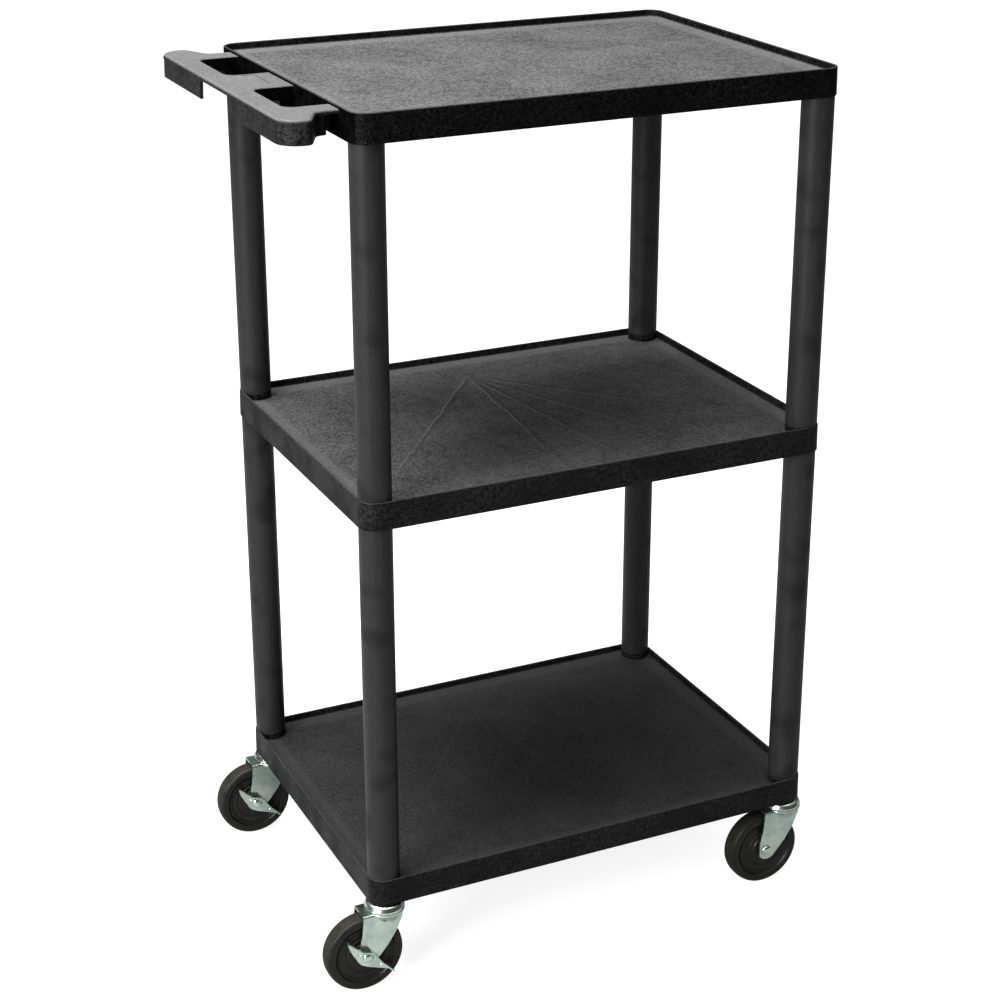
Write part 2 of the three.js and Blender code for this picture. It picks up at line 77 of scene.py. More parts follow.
SHELF_CORNER_RADIUS = 22
LIP_HEIGHT = 9.5
TRAY_THICKNESS = 4
TRAY_TOP = SHELF_HEIGHT - LIP_HEIGHT
TRAY_BOTTOM = TRAY_TOP - TRAY_THICKNESS
COVE_WIDTH = 17
COVE_RISE = 0.9
LIP_FOOT = 5.2
LIP_WALL = 3.6
SKIRT_WALL = 4
SKIRT_DRAFT = 0.5
RIB_DEPTH = 6
RIB_WIDTH = 4
LENGTHWISE_RIBS = 2
CROSSWISE_RIBS = 3
BOSS_RADIUS = 19.7
SEAT_RADIUS = 16
SEAT_DEPTH = 15.6
SOCKET_HOLE_RADIUS = 11

BORDER_BAND = 25

# Where the plastic entered the tray's mould, from the middle of the shelf, and its marks.
GATE_X = -5
GATE_Y = 157
FLOW_HEADINGS = (-128, -95, -82, -67, -49)
FLOW_LINE_WIDTH = 1.5
FLOW_WANDER = 10
FLOW_REACH = 400

# ---------------------------------------------------------------- details of the handle

HANDLE_OUTER = SHELF_END_X - 78
HANDLE_HALF_LENGTH = 219
HANDLE_CORNER_RADIUS = 26
HANDLE_TOP = SHELF_HEIGHT - 2
HANDLE_PLATE = 5.5
HANDLE_BOTTOM = 4.5
HANDLE_WALL = 4
BAR_END_WIDTH = 34
BAR_WIDTH = 52
NECK_HALF_LENGTH = 181
STEP_OUTER_RADIUS = 10
STEP_INNER_RADIUS = 12
SKIRT_ROOT_GAP = 13
SKIRT_ROOT_RADIUS = 5
PLATE_EDGE_RADIUS = 4.2
NOTCH_HALF_LENGTH = 56
HAND_HOLE_NEAR = 41
HAND_HOLE_FAR = 151
HAND_HOLE_REACH = 49
HAND_HOLE_RADIUS = 13
HAND_HOLE_WALL = 3.5
HAND_HOLE_BOTTOM = 16
HAND_HOLE_EDGE = 3.2

# ---------------------------------------------------------------- details of the casters

TRAIL = 30
WHEEL_RADIUS = 50
AXLE_DROP = SHELF_LOW.z - WHEEL_RADIUS
STEM_RADIUS = 5.5
CROWN_RADIUS = 24.8
CROWN_TOP = -12
SHEET = 2.6
FORK_HALF_WIDTH = 16
FOLD_RADIUS = 3
NOSE_X = 13
LEVER_TILT = math.radians(39.5)
LEVER_THICKNESS = 2.3
GAP = 0.3

# How finely curves are divided: the most degrees of turn in one step.
FINE_STEP = math.radians(9)
LATHE_STEPS = 72
WELD = 0.01
SMALL_LATHE_STEPS = 40

# ---------------------------------------------------------------- outlines


def rounded(corners, closed=True):
    """The points of a path through corners of (x, y, radius), each turned at its radius."""
    points = []
    last = len(corners) - 1
    for i, (x, y, radius) in enumerate(corners):
        corner = Vector((x, y))
        if radius == 0 or (not closed and i in (0, last)):
            points.append(corner)
            continue
        before = (Vector(corners[i - 1][:2]) - corner).normalized()
        after = (Vector(corners[(i + 1) % len(corners)][:2]) - corner).normalized()
        half = before.angle(after) / 2
        centre = corner + (before + after).normalized() * radius / math.sin(half)
        start = corner + before * radius / math.tan(half) - centre
        end = corner + after * radius / math.tan(half) - centre
        turn = end.angle_signed(start)
        steps = max(2, math.ceil(abs(turn) / FINE_STEP - 0.01))
        for k in range(steps + 1):
            points.append(centre + Matrix.Rotation(turn * k / steps, 2) @ start)
    return points


def arc(centre, radius, start, end, steps):
    """Points along an arc, with angles in degrees."""
    angles = [math.radians(start + (end - start) * k / steps) for k in range(steps + 1)]
    return [Vector((centre[0] + radius * math.cos(a), centre[1] + radius * math.sin(a))) for a in angles]


def drawn_in(corners, inset):
    """The same anticlockwise corners, with every edge moved in by the inset."""
    places = [Vector(corner[:2]) for corner in corners]
    smaller = []
    for i, (_, _, radius) in enumerate(corners):
        arriving = (places[i] - places[i - 1]).normalized()
        leaving = (places[(i + 1) % len(places)] - places[i]).normalized()
        inward = arriving.orthogonal() + leaving.orthogonal()
        place = places[i] + inward * inset / (1 + arriving.dot(leaving))
        convex = arriving.cross(leaving) > 0
        turn = max(radius - inset, 0.5) if convex else radius
        smaller.append((place.x, place.y, turn if radius else 0))
    return smaller


def rectangle(low_x, low_y, high_x, high_y, radius):
    return [(low_x, low_y, radius), (high_x, low_y, radius), (high_x, high_y, radius), (low_x, high_y, radius)]


def at_height(points, z):
    return [Vector((p.x, p.y, z)) for p in points]


# ---------------------------------------------------------------- meshes


def mesh_object(name, loops, ring=False):
    """A closed skin from loop to loop of equal counts. A ring's last loop joins its first,
    and otherwise the first and last loops are filled in."""
    bm = bmesh.new()
    rows = [[bm.verts.new(point * MM) for point in loop] for loop in loops]
    pairs = list(zip(rows, rows[1:]))
    if ring:
        pairs.append((rows[-1], rows[0]))
    for lower, upper in pairs:
        for k in range(len(lower)):
            n = (k + 1) % len(lower)
            bm.faces.new((lower[k], lower[n], upper[n], upper[k]))
    if not ring:
        bm.faces.new(list(reversed(rows[0])))
        bm.faces.new(rows[-1])
    bmesh.ops.remove_doubles(bm, verts=bm.verts, dist=1e-3 * MM)
    bmesh.ops.dissolve_degenerate(bm, edges=bm.edges, dist=1e-4 * MM)
    bmesh.ops.recalc_face_normals(bm, faces=bm.faces)
    mesh = bpy.data.meshes.new(name)
    bm.to_mesh(mesh)
    bm.free()
    made = bpy.data.objects.new(name, mesh)
    bpy.context.scene.collection.objects.link(made)
    return made


def extruded(name, points, place):
    """A flat outline made solid: place(point, end) puts it at end 0 and end 1."""
    return mesh_object(name, [[place(p, 0) for p in points], [place(p, 1) for p in points]])


def upright(name, points, low, high):
    """An outline in XY, made solid along Z."""
    return extruded(name, points, lambda p, end: Vector((p.x, p.y, high if end else low)))


def sideways(name, points, low, high):
    """An outline in XZ, made solid along Y."""
    return extruded(name, points, lambda p, end: Vector((p.x, high if end else low, p.y)))


def lathe(name, profile, axis="Z", steps=LATHE_STEPS, ring=False):
    """A profile of (radius, height) points turned about an axis through the origin."""
    loops = []
    for radius, height in profile:
        loop = []
        for k in range(steps):
            angle = math.tau * k / steps
            across, along = radius * math.cos(angle), radius * math.sin(angle)
            point = (across, along, height) if axis == "Z" else (across, height, along)
            loop.append(Vector(point))
        loops.append(loop)
    return mesh_object(name, loops, ring)


def moved(made, offset):
    made.data.transform(Matrix.Translation(Vector(offset) * MM))
    return made


def turned(made, angle, axis):
    made.data.transform(Matrix.Rotation(angle, 4, axis))
    return made


def weld(mesh):
    """Joins the points that a cut leaves on top of one another."""
    bm = bmesh.new()
    bm.from_mesh(mesh)
    bmesh.ops.remove_doubles(bm, verts=bm.verts, dist=WELD * MM)
    bmesh.ops.dissolve_degenerate(bm, edges=bm.edges, dist=WELD * MM)
    bm.to_mesh(mesh)
    bm.free()


def combine(base, tools, operation):
    """Joins, cuts or keeps the overlap of solids, one tool after another, and uses the tools up."""
    for tool in tools:
        modifier = base.modifiers.new("combine", "BOOLEAN")
        modifier.operation = operation
        modifier.solver = "EXACT"
        modifier.object = tool
        bpy.context.view_layer.update()
        graph = bpy.context.evaluated_depsgraph_get()
        mesh = bpy.data.meshes.new_from_object(base.evaluated_get(graph))
        base.modifiers.clear()
        weld(mesh)
        base.data = mesh
        bpy.data.objects.remove(tool)
    return base


def join(base, *tools):
    return combine(base, tools, "UNION")


def cut(base, *tools):
    return combine(base, tools, "DIFFERENCE")


def finish_piece(made, name, body, look, slot, *nodes, sharp=34):
    """Names a piece, smooths its curves, gives it its material, and ties it to the frame."""
    made.name = name
    made.data.name = name
    made.data.shade_smooth()
    made.data.set_sharp_from_angle(angle=math.radians(sharp))
    made.data.materials.clear()
    made.data.materials.append(look)
    weighted = made.modifiers.new("weighted normals", "WEIGHTED_NORMAL")
    weighted.keep_sharp = True
    weighted.weight = 60
    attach(made, body)
    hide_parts(*nodes)
    return made


# ---------------------------------------------------------------- materials


# The pale grey of even plastic that faces up: its dust together with painted light from above.
EVEN_DUST_AND_LIGHT = (0.09, 0.09, 0.091)


class Look:
    """One procedural material. Its textures are measured in millimetres on the object."""

    def __init__(self, name, **inputs):
        self.material = bpy.data.materials.new(name)
        self.material.use_nodes = True
        self.nodes = self.material.node_tree.nodes
        self.links = self.material.node_tree.links
        self.shader = self.nodes["Principled BSDF"]
        for socket, value in inputs.items():
            self.shader.inputs[socket.replace("_", " ")].default_value = value
        place = self.nodes.new("ShaderNodeTexCoord").outputs["Object"]
        self.place = self.vector("SCALE", place, scale=1 / MM)

    def join(self, value, socket):
        """Puts a number, a vector or another node's output into a socket."""
        if isinstance(value, bpy.types.NodeSocket):
            self.links.new(value, socket)
        else:
            socket.default_value = value

    def math(self, operation, a, b=0.0, c=0.0):
        node = self.nodes.new("ShaderNodeMath")
        node.operation = operation
        for value, socket in zip((a, b, c), node.inputs):
            self.join(value, socket)
        return node.outputs[0]

    def vector(self, operation, a, b=(0, 0, 0), scale=1.0):
        node = self.nodes.new("ShaderNodeVectorMath")
        node.operation = operation
        self.join(a, node.inputs[0])
        self.join(b, node.inputs[1])
        self.join(scale, node.inputs[3])
        number = operation in ("LENGTH", "DOT_PRODUCT", "DISTANCE")
        return node.outputs["Value" if number else "Vector"]

    def noise(self, size, detail=2.0, roughness=0.5, place=None, distortion=0.0):
        """Noise with features about size millimetres wide."""
        node = self.nodes.new("ShaderNodeTexNoise")
        self.join(place or self.place, node.inputs["Vector"])
        node.inputs["Scale"].default_value = 1 / size
        node.inputs["Detail"].default_value = detail
        node.inputs["Roughness"].default_value = roughness
        node.inputs["Distortion"].default_value = distortion
        return node.outputs["Fac"]

    def cells(self, size, feature="SMOOTH_F1", smooth=0.4):
        """Rounded cells about size millimetres wide, low in their middles."""
        node = self.nodes.new("ShaderNodeTexVoronoi")
        node.feature = feature
        self.join(self.place, node.inputs["Vector"])
        node.inputs["Scale"].default_value = 1 / size
        node.inputs["Smoothness"].default_value = smooth
        return node.outputs["Distance"]

    def spread(self, value, low, high, to_low, to_high):
        """Maps low to high onto to_low to to_high, and no further."""
        node = self.nodes.new("ShaderNodeMapRange")
        for key, number in (("From Min", low), ("From Max", high), ("To Min", to_low), ("To Max", to_high)):
            node.inputs[key].default_value = number
        self.join(value, node.inputs["Value"])
        return node.outputs["Result"]

    def blend(self, amount, first, second):
        """Goes from the first colour to the second as amount goes from 0 to 1."""
        node = self.nodes.new("ShaderNodeMix")
        node.data_type = "RGBA"
        self.join(amount, node.inputs["Factor"])
        for colour, socket in ((first, node.inputs[6]), (second, node.inputs[7])):
            self.join(colour if isinstance(colour, bpy.types.NodeSocket) else (*colour, 1), socket)
        return node.outputs[2]

    def bump(self, height, depth, strength=1.0, under=None):
        """Relief depth millimetres deep, over any relief made before."""
        node = self.nodes.new("ShaderNodeBump")
        node.inputs["Strength"].default_value = strength
        self.join(self.math("MULTIPLY", depth, MM), node.inputs["Distance"])
        self.join(height, node.inputs["Height"])
        if under:
            self.join(under, node.inputs["Normal"])
        return node.outputs["Normal"]

    def facing_up(self):
        """1 where the surface faces upwards, and 0 where it is upright or faces down."""
        parts = self.nodes.new("ShaderNodeSeparateXYZ")
        self.join(self.nodes.new("ShaderNodeNewGeometry").outputs["True Normal"], parts.inputs[0])
        return self.spread(parts.outputs["Z"], 0.35, 0.85, 0, 1)

    def relief(self, depth, smooth):
        """A relief's depth in millimetres, which fades to a third where smooth is 1."""
        return self.spread(smooth, 0, 1, depth, depth / 3)

    def finish(self, colour, roughness, normal):
        self.join(colour, self.shader.inputs["Base Color"])
        self.join(roughness, self.shader.inputs["Roughness"])
        self.join(normal, self.shader.inputs["Normal"])
        return self.material


def skirt_look(name, tone, gloss, dust, evenness):
    """Moulded plastic with a coarse pebble grain, dark blotches and a few pale specks, which are
    painted glints. Faces that look up are paler: partly the dust and fine wear that they collect,
    and partly painted light from above. The more even, the less of the grain shows there."""
    look = Look(name, IOR=1.45, Specular_IOR_Level=gloss)

    def grey(level):
        return (level * tone, level * tone, 1.03 * level * tone)

    blotches = look.spread(look.noise(5, 4, 0.7), 0.38, 0.66, 0, 1)
    clouds = look.spread(look.noise(55, 3, 0.55), 0.38, 0.64, 0, 1)
    # Pale specks are painted glints on the pebble grain, equally bright whatever the tone.
    specks = look.spread(look.noise(1.5, 2, 0.6), 0.62, 0.74, 0, 1)
    plain = look.blend(blotches, grey(0.0006), grey(0.013))
    cloudy = look.blend(look.math("MULTIPLY", clouds, 0.6), plain, grey(0.002))
    specked = look.blend(look.math("MULTIPLY", specks, 0.5), cloudy, (0.055, 0.055, 0.056))
    # Upward faces get a paler colour, which paints the light from above as well as their dust.
    above = look.blend(evenness, grain_dust_and_light(look, dust), tuple(dust * level for level in EVEN_DUST_AND_LIGHT))
    colour = look.blend(look.facing_up(), specked, above)
    roughness = look.spread(look.math("ADD", blotches, clouds), 0, 2, 0.36, 0.66)
    grain = look.bump(look.cells(2.3), 0.3, 0.9)
    fine = look.bump(look.noise(1.1, 3, 0.65), 0.16, 0.8, grain)
    lumps = look.bump(look.noise(6, 3, 0.6), 0.55, 0.7, fine)
    waves = look.bump(look.noise(45, 2, 0.5), 0.9, 0.5, lumps)
    return look.finish(colour, roughness, waves)


def grain_dust_and_light(look, dust=1.0):
    """The colour of grained plastic seen from above, with painted light: pale painted highlights on
    its pebbles, and a paleness, set by dust, for dust together with the light that falls on it.
    """
    def grey(level):
        return (level * dust, level * dust, 1.01 * level * dust)

    clouds = look.spread(look.noise(85, 3, 0.55), 0.36, 0.66, 0, 1)
    patches = look.spread(look.noise(16, 3, 0.65), 0.38, 0.64, 0, 1)
    pebbles = look.spread(look.noise(3.4, 3, 0.7), 0.43, 0.57, 0, 1)
    plain = look.blend(clouds, grey(0.016), grey(0.034))
    patched = look.blend(look.math("MULTIPLY", patches, 0.5), plain, grey(0.05))
    # Painted highlights: pale spots where the pebbles would catch the light.
    pebble_highlights = look.math("MULTIPLY", pebbles, look.spread(clouds, 0, 1, 0.5, 0.68))
    return look.blend(pebble_highlights, patched, grey(0.1))


def recess_shade_look():
    """Painted shade: the same plastic, smoother and nearly black, inside the hand holes and on the end wall under the
    handle, where shade falls.
    """
    look = Look("recess_shade_plastic", IOR=1.45, Specular_IOR_Level=0.0)
    blotches = look.spread(look.noise(12, 4, 0.65), 0.38, 0.66, 0, 1)
    colour = look.blend(blotches, (0.0006, 0.0006, 0.0007), (0.0024, 0.0024, 0.0026))
    roughness = look.spread(blotches, 0, 1, 0.55, 0.75)
    return look.finish(colour, roughness, look.bump(look.noise(1.6, 3, 0.6), 0.14, 0.7))


def border_band(look):
    """1 on the smooth band that runs round inside the lip, and 0 on the rest of the floor."""
    from_middle = look.vector("SUBTRACT", look.place, (SHELF_MIDDLE.x, 0, 0))
    to_sides = look.vector("SUBTRACT", (SHELF_HALF_X, SHELF_HALF_Y, 0), look.vector("ABSOLUTE", from_middle))
    parts = look.nodes.new("ShaderNodeSeparateXYZ")
    look.join(to_sides, parts.inputs[0])
    nearest = look.math("MINIMUM", parts.outputs["X"], parts.outputs["Y"])
    uneven = look.math("MULTIPLY_ADD", look.noise(9, 3, 0.6), 3.5, nearest)
    return look.spread(uneven, BORDER_BAND - 2, BORDER_BAND + 6, 1, 0)


def flow_marks(look):
    """Fine creases, pale beside dark, which fan out from where the plastic entered the mould.
    The result goes from -1, dark, to 1, pale."""
    away = look.vector("SUBTRACT", look.place, (SHELF_MIDDLE.x + GATE_X, GATE_Y, 0))
    wander = look.math("MULTIPLY", look.math("SUBTRACT", look.noise(80, 2, 0.5), 0.5), FLOW_WANDER)
    marks = 0.0
    for heading in FLOW_HEADINGS:
        angle = math.radians(heading)
        along = look.vector("DOT_PRODUCT", away, (math.cos(angle), math.sin(angle), 0))
        across = look.vector("DOT_PRODUCT", away, (-math.sin(angle), math.cos(angle), 0))
        aside = look.math("ADD", across, wander)
        pale = look.spread(look.math("ABSOLUTE", aside), 0, FLOW_LINE_WIDTH, 1, 0)
        beside = look.math("ABSOLUTE", look.math("SUBTRACT", aside, 3 * FLOW_LINE_WIDTH))
        dark = look.spread(beside, 0, 3 * FLOW_LINE_WIDTH, 0.7, 0)
        reach = look.math("MULTIPLY", look.spread(along, 0, 25, 0, 1), look.spread(along, 150, FLOW_REACH, 1, 0))
        marks = look.math("ADD", marks, look.math("MULTIPLY", look.math("SUBTRACT", pale, dark), reach))
    return marks


def tray_look(name, dust, creased):
    """The same plastic on the tray floors: an even grain, with a smooth border and creases
    where the plastic flowed. Dust sets how pale the floor is, as painted light: paler on a lit
    tray, darker on one in the shade of the shelves above."""
    look = Look(name, IOR=1.45, Specular_IOR_Level=0.2)
    marks = look.math("MULTIPLY", flow_marks(look), creased)
    border = border_band(look)
    pale_marks = look.math("MAXIMUM", marks, 0.0)
    dark_marks = look.math("MAXIMUM", look.math("MULTIPLY", marks, -1), 0.0)
    marked = look.blend(look.math("MULTIPLY", pale_marks, 0.55), grain_dust_and_light(look, dust), (0.13, 0.13, 0.13))
    lined = look.blend(look.math("MULTIPLY", dark_marks, 0.5), marked, (0.012, 0.012, 0.0125))
    band = tuple(dust * level for level in EVEN_DUST_AND_LIGHT)
    colour = look.blend(look.math("MULTIPLY", border, 0.55), lined, band)
    clouds = look.spread(look.noise(30, 3, 0.6), 0.36, 0.66, 0, 1)
    worn = look.math("SUBTRACT", clouds, look.math("MULTIPLY", border, 0.5))
    roughness = look.spread(worn, -0.5, 1, 0.5, 0.68)
    grain = look.bump(look.cells(1.6), look.relief(0.25, border), 1)
    fine = look.bump(look.noise(0.8, 2, 0.6), 0.09, 0.6, grain)
    uneven = look.bump(look.noise(6, 3, 0.6), 0.22, 0.6, fine)
    ridges = look.bump(marks, 0.15, 0.5, uneven)
    return look.finish(colour, roughness, ridges)


def leg_look():
    """Extruded satin tube: faint lengthwise drawing lines, a fine grain, scuffs and soft smudges."""
    look = Look("satin_tube", IOR=1.45, Specular_IOR_Level=0.16)
    drawn = look.vector("MULTIPLY", look.place, (1, 1, 0.006))
    lines = look.noise(1.4, 3, 0.6, place=drawn)
    smudges = look.spread(look.noise(42, 1, 0.5), 0.56, 0.72, 0, 1)
    scuffs = look.spread(look.noise(2.4, 4, 0.75), 0.62, 0.78, 0, 1)
    cloudy = look.spread(look.noise(14, 3, 0.6), 0.35, 0.68, 0, 1)
    speckle = look.spread(look.noise(1.8, 2, 0.6), 0.36, 0.64, 0, 1)
    drawn_tone = look.blend(look.spread(lines, 0.3, 0.7, 0, 1), (0.011, 0.011, 0.0115), (0.017, 0.017, 0.0175))
    grained = look.blend(look.math("MULTIPLY", speckle, 0.35), drawn_tone, (0.026, 0.026, 0.0265))
    plain = look.blend(look.math("MULTIPLY", cloudy, 0.3), grained, (0.009, 0.009, 0.0095))
    smudged = look.blend(look.math("MULTIPLY", smudges, 0.7), plain, (0.0045, 0.0045, 0.005))
    colour = look.blend(look.math("MULTIPLY", scuffs, 0.3), smudged, (0.045, 0.045, 0.045))
    roughness = look.spread(look.math("ADD", lines, smudges), 0.3, 1.6, 0.4, 0.54)
    drawing = look.bump(lines, 0.03, 0.5)
    skin = look.bump(look.noise(1.2, 2, 0.5), 0.06, 0.7, drawing)
    return look.finish(colour, roughness, skin)


def nylon_look():
    """Turned nylon of the stem sockets, with fine tool marks."""
    look = Look("nylon")
    rings = look.noise(0.8, 2, 0.5, place=look.vector("MULTIPLY", look.place, (0.05, 0.05, 1)))
    colour = look.blend(look.spread(rings, 0.3, 0.7, 0, 1), (0.009, 0.009, 0.0095), (0.014, 0.014, 0.0145))
    roughness = look.spread(look.noise(6, 2), 0.3, 0.7, 0.4, 0.55)
    return look.finish(colour, roughness, look.bump(rings, 0.03, 0.6))


def plated_look(name, pale, deep, rough, grain_depth):
    """Plated metal: cloudy colour from the plating bath, rolling grain and handling wear."""
    look = Look(name, Metallic=1.0)
    clouds = look.spread(look.noise(24, 2, 0.5, distortion=0.4), 0.36, 0.66, 0, 1)
    blooms = look.spread(look.noise(9, 2, 0.5), 0.4, 0.7, 0, 1)
    flecks = look.spread(look.noise(1.1, 3, 0.7), 0.4, 0.75, 0, 1)
    rolled = look.noise(0.7, 3, 0.6, place=look.vector("MULTIPLY", look.place, (1, 1, 0.08)))
    tinted = look.blend(clouds, pale, deep)
    bloomed = look.blend(look.math("MULTIPLY", blooms, 0.25), tinted, tuple(1.25 * c for c in pale))
    colour = look.blend(look.math("MULTIPLY", flecks, 0.22), bloomed, tuple(0.8 * c for c in deep))
    uneven = look.math("ADD", look.math("MULTIPLY", clouds, 0.6), look.math("MULTIPLY", flecks, 0.4))
    roughness = look.spread(uneven, 0, 1, rough, rough + 0.14)
    grain = look.bump(rolled, grain_depth, 0.5)
    dents = look.bump(look.noise(9, 2, 0.5), 0.14, 0.4, grain)
    return look.finish(colour, roughness, dents)


def rubber_look(name, dark, pale, rough):
    """Moulded hard rubber: a dusty bloom, fine pitting and faint marks."""
    look = Look(name, IOR=1.45, Specular_IOR_Level=0.22)
    bloom = look.spread(look.noise(16, 3, 0.6), 0.35, 0.7, 0, 1)
    dust = look.spread(look.noise(1.6, 3, 0.7), 0.55, 0.8, 0, 1)
    plain = look.blend(bloom, dark, pale)
    colour = look.blend(look.math("MULTIPLY", dust, 0.4), plain, tuple(2.2 * c for c in pale))
    roughness = look.spread(bloom, 0, 1, rough, rough + 0.14)
    pits = look.bump(look.noise(0.9, 3, 0.6), 0.05, 0.6)
    return look.finish(colour, roughness, pits)


def tread_look():
    """Where the tyre runs: floor dust rubbed into the rubber, with scuffed patches."""
    look = Look("worn_tread", IOR=1.45, Specular_IOR_Level=0.12)
    patches = look.spread(look.noise(9, 4, 0.65), 0.36, 0.66, 0, 1)
    dust = look.spread(look.noise(1.2, 3, 0.7), 0.4, 0.75, 0, 1)
    plain = look.blend(patches, (0.0065, 0.0065, 0.0048), (0.015, 0.0145, 0.0105))
    colour = look.blend(look.math("MULTIPLY", dust, 0.5), plain, (0.03, 0.029, 0.022))
    roughness = look.spread(patches, 0, 1, 0.55, 0.72)
    scuffs = look.bump(look.noise(1.6, 4, 0.7), 0.09, 0.7)
    return look.finish(colour, roughness, scuffs)


SKIRT_LOOK = skirt_look("pebbled_plastic", 1.15, 0.08, 0.35, 0.3)
HANDLE_LOOK = skirt_look("handle_plastic", 1.5, 0.1, 1.0, 0.6)
# The top shelf's upright faces: a darker copy of the same plastic, painted shade.
SHADED_SKIRT_LOOK = skirt_look("shaded_pebbled_plastic", 0.5, 0.03, 1.0, 0.3)
RECESS_SHADE_LOOK = recess_shade_look()
# Each tray's dust is painted light: the top tray is painted lit, the middle one a little darker, and the bottom one,
# in the shade of two shelves, much darker.
TRAY_LOOKS = {
    "bottom_shelf": tray_look("shaded_uncreased_tray", 0.27, 0.15),
    "middle_shelf": tray_look("creased_tray", 0.82, 1.4),
    "top_shelf": tray_look("lit_dusty_tray", 0.93, 0.4),
}
LEG_LOOK = leg_look()
NYLON_LOOK = nylon_look()
ZINC_LOOK = plated_look("zinc_plate", (0.55, 0.64, 0.545), (0.37, 0.46, 0.43), 0.19, 0.02)
STEEL_LOOK = plated_look("bright_steel", (0.55, 0.56, 0.57), (0.42, 0.43, 0.45), 0.26, 0.03)
TYRE_LOOK = rubber_look("tyre_rubber", (0.004, 0.0045, 0.0037), (0.009, 0.0097, 0.008), 0.3)
CORE_LOOK = rubber_look("wheel_core", (0.004, 0.0045, 0.0037), (0.009, 0.0097, 0.008), 0.28)
TREAD_LOOK = tread_look()

# ---------------------------------------------------------------- shelves


def shelf_loop(inset, z):
    """The shelf's outline, drawn in by the same amount all round."""
    x, y = SHELF_HALF_X - inset, SHELF_HALF_Y - inset
    return at_height(rounded(rectangle(-x, -y, x, y, max(SHELF_CORNER_RADIUS - inset, 1.5))), z)


def tray_shell():
    """From the tray's floor up its cove to the lip, down the skirt and back underneath."""
    profile = rounded([
        (COVE_WIDTH, TRAY_TOP, 0),
        (LIP_FOOT, TRAY_TOP + COVE_RISE, 2.4),
        (LIP_WALL, SHELF_HEIGHT, 1.3),
        (SKIRT_DRAFT, SHELF_HEIGHT, 1.3),
        (0, 0, 1.2),
        (SKIRT_WALL - 0.4, 0, 1.2),
        (SKIRT_WALL + 0.2, TRAY_BOTTOM, 3),
        (COVE_WIDTH, TRAY_BOTTOM, 0),
    ], closed=False)
    return mesh_object("shell", [shelf_loop(inset, z) for inset, z in profile])


def rib_section():
    """A rib's cross section: thicker at its root, with a rounded free edge."""
    half, low, high = RIB_WIDTH / 2, TRAY_BOTTOM - RIB_DEPTH, TRAY_BOTTOM + 1
    return rounded([
        (-half + 0.5, low, 0.8), (half - 0.5, low, 0.8),
        (half, TRAY_BOTTOM - 1.5, 0.5), (half + 1.5, high, 0),
        (-half - 1.5, high, 0), (-half, TRAY_BOTTOM - 1.5, 0.5),
    ])


def evenly(count, span):
    return [(i + 1) * span / (count + 1) - span / 2 for i in range(count)]


def ribs():
    section = rib_section()
    reach_x = SHELF_HALF_X - SKIRT_WALL / 2
    reach_y = SHELF_HALF_Y - SKIRT_WALL / 2
    made = []
    for y in evenly(LENGTHWISE_RIBS, 2 * SHELF_HALF_Y):
        made.append(extruded("rib", section, lambda p, end: Vector((reach_x * (2 * end - 1), y + p.x, p.y))))
    for x in evenly(CROSSWISE_RIBS, 2 * SHELF_HALF_X):
        made.append(extruded("rib", section, lambda p, end: Vector((x + p.x, reach_y * (2 * end - 1), p.y))))
    return made


def at_stems(make):
    """One piece at each corner, over the caster's stem."""
    places = [middle_mm(f"stem_{corner}") - SHELF_MIDDLE for corner in CORNERS]
    return [moved(make(), (place.x, place.y, 0)) for place in places]


def post(radius, low, high, edge=0.0):
    """An upright round post, with its top edge rounded."""
    return lathe("post", rounded([(0, low, 0), (radius, low, 0), (radius, high, edge), (0, high, 0)], closed=False))


def seat(low, high, mouth):
    """The hole that takes a leg's spigot, opened out a little at its mouth."""
    if mouth > 0:
        profile = [(0, low), (SEAT_RADIUS, low), (SEAT_RADIUS, high - 1), (SEAT_RADIUS + 1, high),
                   (SEAT_RADIUS + 1, high + 1), (0, high + 1)]
    else:
        profile = [(0, low - 1), (SEAT_RADIUS + 1, low - 1), (SEAT_RADIUS + 1, low),
                   (SEAT_RADIUS, low + 1), (SEAT_RADIUS, high), (0, high)]
    return lathe("seat", profile)


def seats_above():
    return at_stems(lambda: seat(SHELF_HEIGHT - SEAT_DEPTH, SHELF_HEIGHT, 1))


def seats_below():
    return at_stems(lambda: seat(0, SEAT_DEPTH, -1))


def add_shelf(name, made):
    """Puts a shelf in its place, with each kind of surface in its own grain."""
    low, high = box_mm(name)
    moved(made, (SHELF_MIDDLE.x, 0, low.z))
    finish_piece(made, f"{name}_moulding", "cart", SKIRT_LOOK, "shelf_plastic", name)
    for look in (TRAY_LOOKS[name], SHADED_SKIRT_LOOK, RECESS_SHADE_LOOK, HANDLE_LOOK):
        made.data.materials.append(look)
    for face in made.data.polygons:
        place = face.center / MM - Vector((SHELF_MIDDLE.x, 0, low.z))
        if face.normal.z > 0.9 and abs(place.z - TRAY_TOP) < COVE_RISE + 0.4:
            face.material_index = 1
        elif name == "top_shelf":
            face.material_index = top_surface(place, face.normal)


def top_surface(place, normal):
    """The material of a face of the top shelf: 4 on the handle, 2 on the shelf's upright
    faces, in painted shade, and 3, nearly black painted shade, inside a hand hole and on the end wall that the handle
    covers."""
    upright_face = abs(normal.z) < 0.6
    end_wall = normal.x < -0.8 and -1 < place.x - SHELF_END_X < SKIRT_WALL
    in_hole = (
        -HAND_HOLE_REACH - 1 < place.x - SHELF_END_X < 0
        and HAND_HOLE_NEAR - 1 < abs(place.y) < HAND_HOLE_FAR + 1
        and place.z < HANDLE_TOP - 1
    )
    if upright_face and (end_wall or in_hole):
        return 3
    if place.x < SHELF_END_X - 1:
        return 4
    return 2 if upright_face else 0


